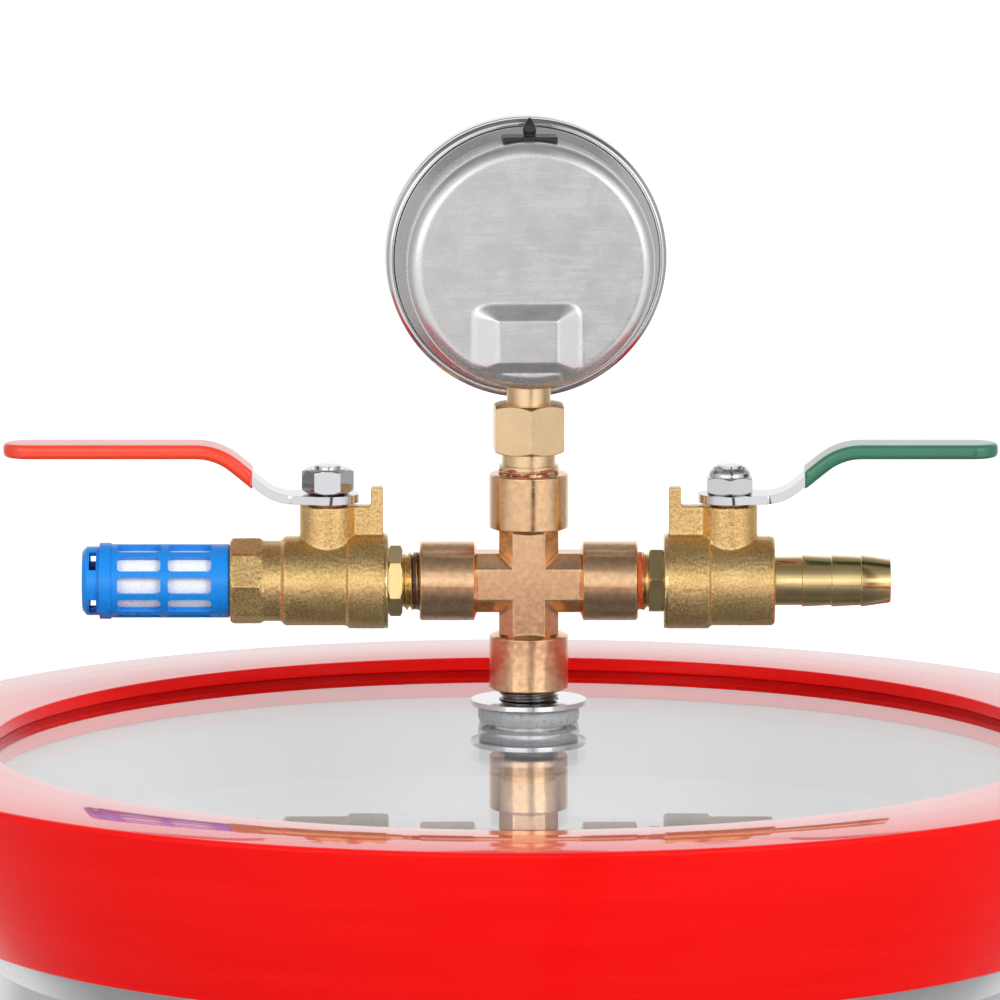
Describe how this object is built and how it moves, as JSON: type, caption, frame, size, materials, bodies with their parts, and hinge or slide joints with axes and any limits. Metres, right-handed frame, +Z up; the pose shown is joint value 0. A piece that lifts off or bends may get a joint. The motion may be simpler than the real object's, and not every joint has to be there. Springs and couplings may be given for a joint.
{
  "type": "vacuum degassing chamber",
  "caption": "Steel pot with a thick glass lid in a red silicone ring; a cross fitting on it carries a vacuum gauge, a ball valve with silencer and a ball valve with hose barb.",
  "frame": {"origin": "middle of the pot's base, on the surface it stands on", "axes": "+Z is up through the pot and the lid, +X points the way the hose barb does, and the gauge dial faces +Y"},
  "size_m": [0.295, 0.295, 0.3996],
  "materials": {
    "stainless_steel": "satin drawn stainless steel",
    "silicone_red": "glossy red silicone",
    "lid_glass": "clear polished glass",
    "seal_rubber": "translucent grey rubber",
    "zinc_steel": "bright plated steel",
    "dark_thread": "dark threaded steel",
    "bronze": "turned pinkish bronze",
    "cast_brass": "sand-textured cast brass",
    "turned_brass": "bright turned brass",
    "dark_copper": "dark copper",
    "chrome_plate": "bright chrome plate",
    "seat_plastic": "white low-friction plastic",
    "grip_red": "glossy red dipped plastic",
    "grip_green": "glossy green dipped plastic",
    "silencer_blue": "blue moulded plastic",
    "porous_white": "white porous plastic",
    "gauge_steel": "satin pressed steel",
    "bezel_steel": "polished stainless steel",
    "gauge_glass": "flat clear glass",
    "dial_white": "white painted plate",
    "needle_black": "black painted",
    "movement_brass": "stamped brass",
    "black_rubber": "black rubber"
  },
  "bodies": {
    "chamber": {"pot": "stainless_steel", "lid_ring": "silicone_red", "lid_glass": "lid_glass", "upper_seal": "seal_rubber", "lower_seal": "seal_rubber", "upper_washer": "zinc_steel", "lower_washer": "zinc_steel", "port_nut": "zinc_steel", "port_nipple": "dark_thread", "cross_fitting": "bronze", "silencer_cage": "silencer_blue", "silencer_element": "porous_white", "silencer_cap": "silencer_blue", "gauge_case": "gauge_steel", "gauge_bezel": "bezel_steel", "gauge_lens_seal": "black_rubber", "gauge_lens": "gauge_glass", "gauge_dial": "dial_white", "gauge_socket": "bronze", "gauge_rear_plate": "movement_brass", "gauge_front_plate": "movement_brass", "gauge_posts": "movement_brass", "gauge_dial_pillars": "movement_brass", "gauge_pressure_tube": "movement_brass", "gauge_tube_tip": "movement_brass", "gauge_link": "movement_brass", "gauge_vent_plug": "black_rubber", "inlet_insert": "turned_brass", "inlet_valve_body": "cast_brass", "inlet_seat_inner": "seat_plastic", "inlet_seat_outer": "seat_plastic", "inlet_gland": "dark_copper", "outlet_insert": "turned_brass", "outlet_valve_body": "cast_brass", "outlet_seat_inner": "seat_plastic", "outlet_seat_outer": "seat_plastic", "outlet_gland": "dark_copper"},
    "inlet_handle": {"inlet_ball": "chrome_plate", "inlet_stem": "chrome_plate", "inlet_lever": "chrome_plate", "inlet_grip": "grip_red", "inlet_stem_nut": "chrome_plate"},
    "outlet_handle": {"outlet_ball": "chrome_plate", "outlet_stem": "chrome_plate", "outlet_lever": "chrome_plate", "outlet_grip": "grip_green", "outlet_stem_nut": "chrome_plate"},
    "gauge_sector_arm": {"gauge_sector": "movement_brass"},
    "gauge_pointer": {"gauge_pinion": "movement_brass", "gauge_needle": "needle_black"}
  },
  "joints": [
    {"name": "inlet_valve_turn", "type": "hinge", "parent": "chamber", "child": "inlet_handle", "pos_m": [-0.0433, 0.044, 0.2937], "axis": [0, 0, 1], "range_deg": [-90, 0]},
    {"name": "outlet_valve_turn", "type": "hinge", "parent": "chamber", "child": "outlet_handle", "pos_m": [0.0477, 0.044, 0.2937], "axis": [0, 0, 1], "range_deg": [-90, 0]},
    {"name": "gauge_sector_turn", "type": "hinge", "parent": "chamber", "child": "gauge_sector_arm", "pos_m": [0.0022, 0.044, 0.35525], "axis": [-0.0628, 0.998, 0], "range_deg": [-33.75, 0]},
    {"name": "gauge_needle_turn", "type": "hinge", "parent": "chamber", "child": "gauge_pointer", "pos_m": [0.0022, 0.044, 0.3665], "axis": [-0.0628, 0.998, 0], "range_deg": [0, 270]}
  ],
  "couplings": [
    {"joint": "gauge_needle_turn", "follows": "gauge_sector_turn", "ratio": -8}
  ]
}
